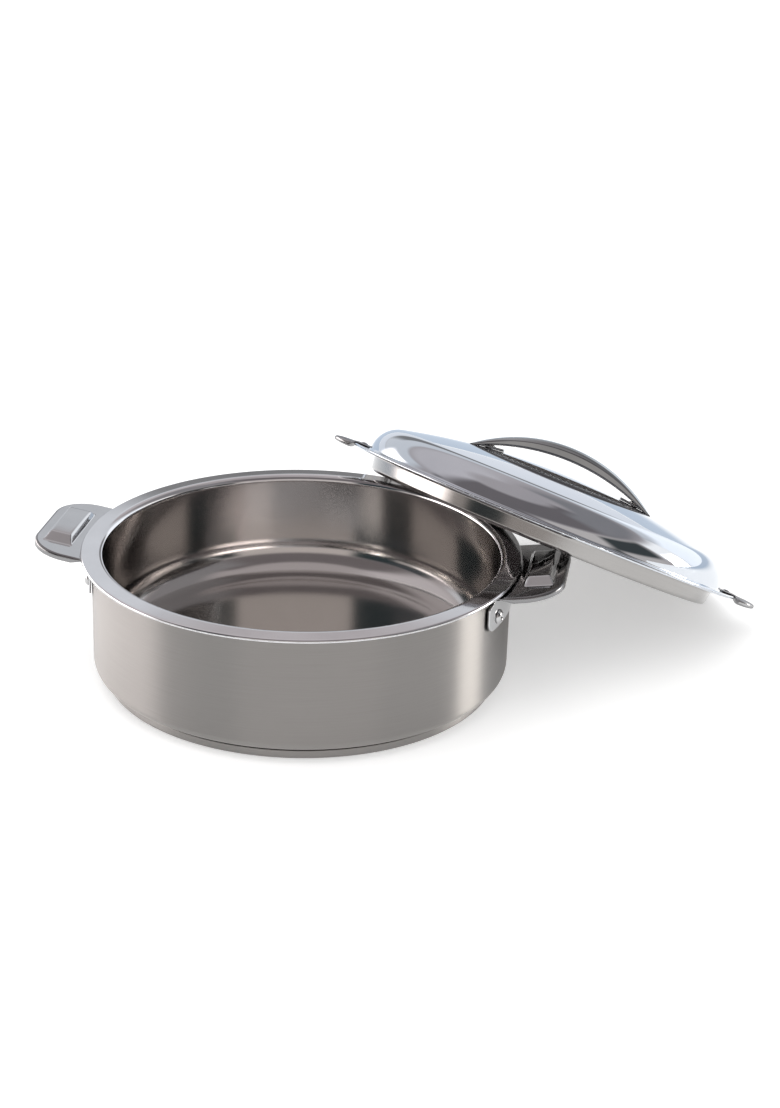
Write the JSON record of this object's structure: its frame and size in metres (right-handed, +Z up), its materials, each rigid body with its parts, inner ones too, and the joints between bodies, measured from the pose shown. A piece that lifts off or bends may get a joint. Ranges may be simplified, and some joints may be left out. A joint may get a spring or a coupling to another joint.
{
  "type": "serving casserole",
  "caption": "Insulated double-wall steel serving pot with a wide flat rim, pressed lug handles and a domed lift-off lid with an arched strap, leaning on the rim.",
  "frame": {"origin": "centre of the pot's foot on the table", "axes": "+X from the pot's axis through the right handle, +Y to the far side, +Z up"},
  "size_m": [0.3771, 0.3295, 0.1134],
  "materials": {
    "satin_steel": "satin brushed stainless steel",
    "polished_steel": "mirror-polished stainless steel",
    "foam": "rigid polyurethane foam",
    "fixings": "plain steel"
  },
  "bodies": {
    "pot": {"outer_shell": "satin_steel", "inner_bowl": "polished_steel", "pot_insulation": "foam", "base_cap": "satin_steel", "right_handle": "polished_steel", "left_handle": "polished_steel", "right_handle_rivets": "fixings", "left_handle_rivets": "fixings", "right_handle_washers": "fixings", "left_handle_washers": "fixings"},
    "lid": {"lid_dome": "polished_steel", "lid_liner": "polished_steel", "lid_insulation": "foam", "lid_handle": "polished_steel", "lid_handle_rivets": "fixings", "lid_handle_washers": "fixings", "lid_ear_right": "polished_steel", "lid_ear_left": "polished_steel", "lid_ear_rivets": "fixings"}
  },
  "joints": [
    {"name": "lid_lift", "type": "slide", "parent": "pot", "child": "lid", "axis": [0, 0, 1], "range_m": [0, 0.15]}
  ]
}
